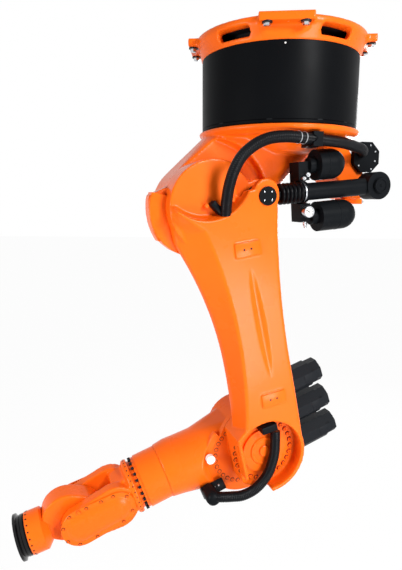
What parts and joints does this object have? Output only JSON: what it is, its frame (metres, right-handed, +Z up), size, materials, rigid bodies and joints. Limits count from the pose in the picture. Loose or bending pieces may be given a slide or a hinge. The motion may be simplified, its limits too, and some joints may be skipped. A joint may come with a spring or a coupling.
{
  "type": "ceiling-mounted industrial robot arm",
  "caption": "Ceiling-hung articulated robot arm with turning column, counterbalanced link arm, forearm with rear motors, forked wrist and drilled tool flange.",
  "frame": {"origin": "centre of the bolting face of the base flange, on the base axis", "axes": "+Z up into the ceiling the base is bolted to, along the base axis; +X and +Y square to the four bolting pads"},
  "size_m": [1.9282, 1.1477, 2.6107],
  "materials": {
    "orange_paint": "satin gloss",
    "black_paint": "satin",
    "bare_steel": "machined",
    "white_plastic": "matte",
    "rubber": "matte"
  },
  "bodies": {
    "base": {"base_ring": "orange_paint", "base_drum": "black_paint", "base_cover": "black_paint"},
    "column": {"column_casting": "orange_paint", "shoulder_gear": "orange_paint", "shoulder_motor": "black_paint", "hose_bracket": "black_paint", "hose_clamp": "black_paint", "rear_pivot_pin": "black_paint", "shoulder_hose": "rubber"},
    "counterbalance": {"barrel": "black_paint", "gland_ring": "bare_steel", "rear_eye": "black_paint", "manifold": "black_paint", "vessel_upper": "black_paint", "vessel_lower": "black_paint", "gauge": "white_plastic", "bellows": "rubber"},
    "rod_eye": {"rod_eye": "black_paint"},
    "link_arm": {"link_arm": "orange_paint", "elbow_plate": "orange_paint", "lug_pin": "black_paint", "hub_bracket": "black_paint", "elbow_clamp": "black_paint"},
    "forearm": {"forearm_casting": "orange_paint", "elbow_ring": "orange_paint", "elbow_motor": "black_paint", "wrist_motor_upper": "black_paint", "wrist_motor_middle": "black_paint", "wrist_motor_lower": "black_paint", "forearm_bracket": "black_paint", "breather_cap": "white_plastic", "front_tube": "orange_paint", "elbow_hose": "rubber"},
    "wrist": {"wrist_fork": "orange_paint", "neck_ring": "orange_paint", "near_cover": "orange_paint", "far_cover": "orange_paint"},
    "hand": {"hand_housing": "orange_paint", "roll_housing": "orange_paint"},
    "tool": {"tool_flange": "black_paint"}
  },
  "joints": [
    {"name": "base_turn", "type": "hinge", "parent": "base", "child": "column", "pos_m": [0, 0, 0], "axis": [0, 0, 1], "range_deg": [-185, 185]},
    {"name": "shoulder", "type": "hinge", "parent": "column", "child": "link_arm", "pos_m": [-0.41109, -0.18303, -0.83], "axis": [-0.4067, 0.9135, 0], "range_deg": [-27, 123], "deforming": ["shoulder_hose", "bellows"]},
    {"name": "counterbalance_swing", "type": "hinge", "parent": "column", "child": "counterbalance", "pos_m": [0.49725, -0.05227, -0.725], "axis": [0.4067, -0.9135, 0], "range_deg": [-4, 15]},
    {"name": "rod_eye_turn", "type": "hinge", "parent": "link_arm", "child": "rod_eye", "pos_m": [-0.19696, -0.08769, -0.77846], "axis": [0.4067, -0.9135, 0], "range_deg": [-31, 138]},
    {"name": "elbow", "type": "hinge", "parent": "link_arm", "child": "forearm", "pos_m": [-0.15607, -0.06949, -2.09967], "axis": [0.4067, -0.9135, 0], "range_deg": [-70, 174], "deforming": ["elbow_hose"]},
    {"name": "forearm_roll", "type": "hinge", "parent": "forearm", "child": "wrist", "pos_m": [-1.01814, -0.45331, -2.42147], "axis": [-0.8658, -0.3855, -0.319], "range_deg": [-350, 350]},
    {"name": "wrist_bend", "type": "hinge", "parent": "wrist", "child": "hand", "pos_m": [-1.01814, -0.45331, -2.42147], "axis": [-0.4067, 0.9135, 0], "range_deg": [-122, 113]},
    {"name": "tool_roll", "type": "hinge", "parent": "hand", "child": "tool", "pos_m": [-1.29204, -0.57525, -2.49622], "axis": [-0.8864, -0.3947, -0.2419], "range_deg": [-350, 350]}
  ],
  "couplings": [
    {"joint": "counterbalance_swing", "follows": "shoulder", "ratio": 0.1147},
    {"joint": "rod_eye_turn", "follows": "shoulder", "ratio": 1.1147}
  ]
}
